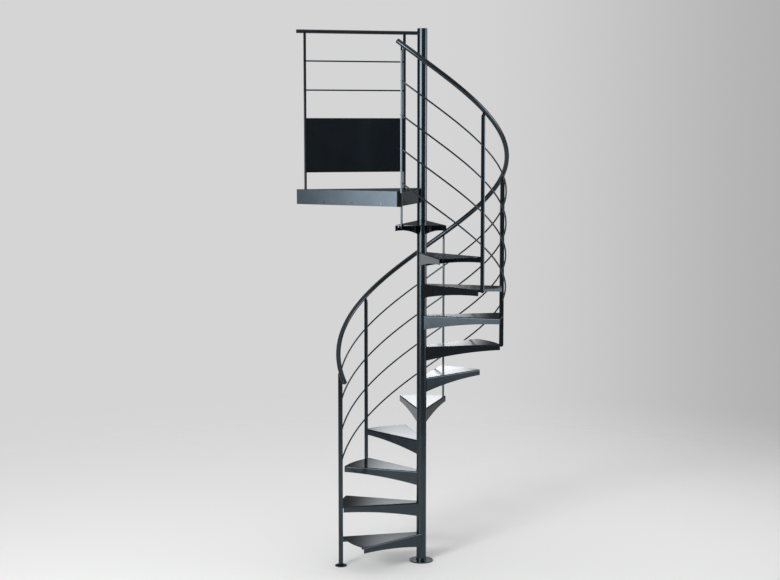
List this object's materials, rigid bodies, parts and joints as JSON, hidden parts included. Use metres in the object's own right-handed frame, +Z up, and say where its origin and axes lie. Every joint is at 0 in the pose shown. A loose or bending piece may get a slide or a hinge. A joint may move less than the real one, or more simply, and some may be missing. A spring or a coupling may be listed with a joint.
{
  "type": "spiral staircase",
  "caption": "Steel spiral staircase: centre column, folded sheet treads, flat-bar posts, helical handrail and rods, and a three-sided corner landing with its own railing.",
  "frame": {"origin": "on the floor, on the axis of the column, at the underside of the column's base plate", "axes": "+Z up along the column; the landing's front fascia, which is bolted to the upper floor, faces -Y; +X to the right seen from in front of the fascia"},
  "size_m": [1.2502, 1.1857, 3.705],
  "materials": {
    "column_paint": "semi-gloss anthracite powder coat on a drawn tube",
    "tread_paint": "semi-gloss anthracite powder coat on folded sheet",
    "railing_paint": "semi-gloss anthracite powder coat on bars, rods and tube",
    "bracket_paint": "satin near-black powder coat",
    "panel_paint": "semi-gloss near-black powder coat on flat sheet",
    "end_cap_plastic": "satin black moulded plastic"
  },
  "bodies": {
    "root": {"column_tube": "column_paint", "column_cap": "column_paint", "column_base_plate": "column_paint", "tread_01": "tread_paint", "tread_02": "tread_paint", "tread_03": "tread_paint", "tread_04": "tread_paint", "tread_05": "tread_paint", "tread_06": "tread_paint", "tread_07": "tread_paint", "tread_08": "tread_paint", "tread_09": "tread_paint", "tread_10": "tread_paint", "tread_11": "tread_paint", "newel_foot_plate": "railing_paint", "newel_post": "railing_paint", "post_03": "railing_paint", "post_05": "railing_paint", "post_07": "railing_paint", "post_09": "railing_paint", "post_11": "railing_paint", "saddle_01": "bracket_paint", "saddle_03": "bracket_paint", "saddle_05": "bracket_paint", "saddle_07": "bracket_paint", "saddle_09": "bracket_paint", "saddle_11": "bracket_paint", "handrail": "railing_paint", "handrail_cap_lower": "end_cap_plastic", "handrail_cap_upper": "end_cap_plastic", "mid_rail_1": "railing_paint", "mid_rail_2": "railing_paint", "mid_rail_3": "railing_paint", "mid_rail_4": "railing_paint", "landing_deck": "tread_paint", "landing_front_fascia": "tread_paint", "landing_corner_bracket": "bracket_paint", "landing_post_left": "railing_paint", "landing_post_right": "railing_paint", "landing_top_rail": "railing_paint", "landing_rail_cap": "end_cap_plastic", "landing_rod_lower": "railing_paint", "landing_rod_upper": "railing_paint", "landing_panel": "panel_paint"}
  },
  "joints": []
}
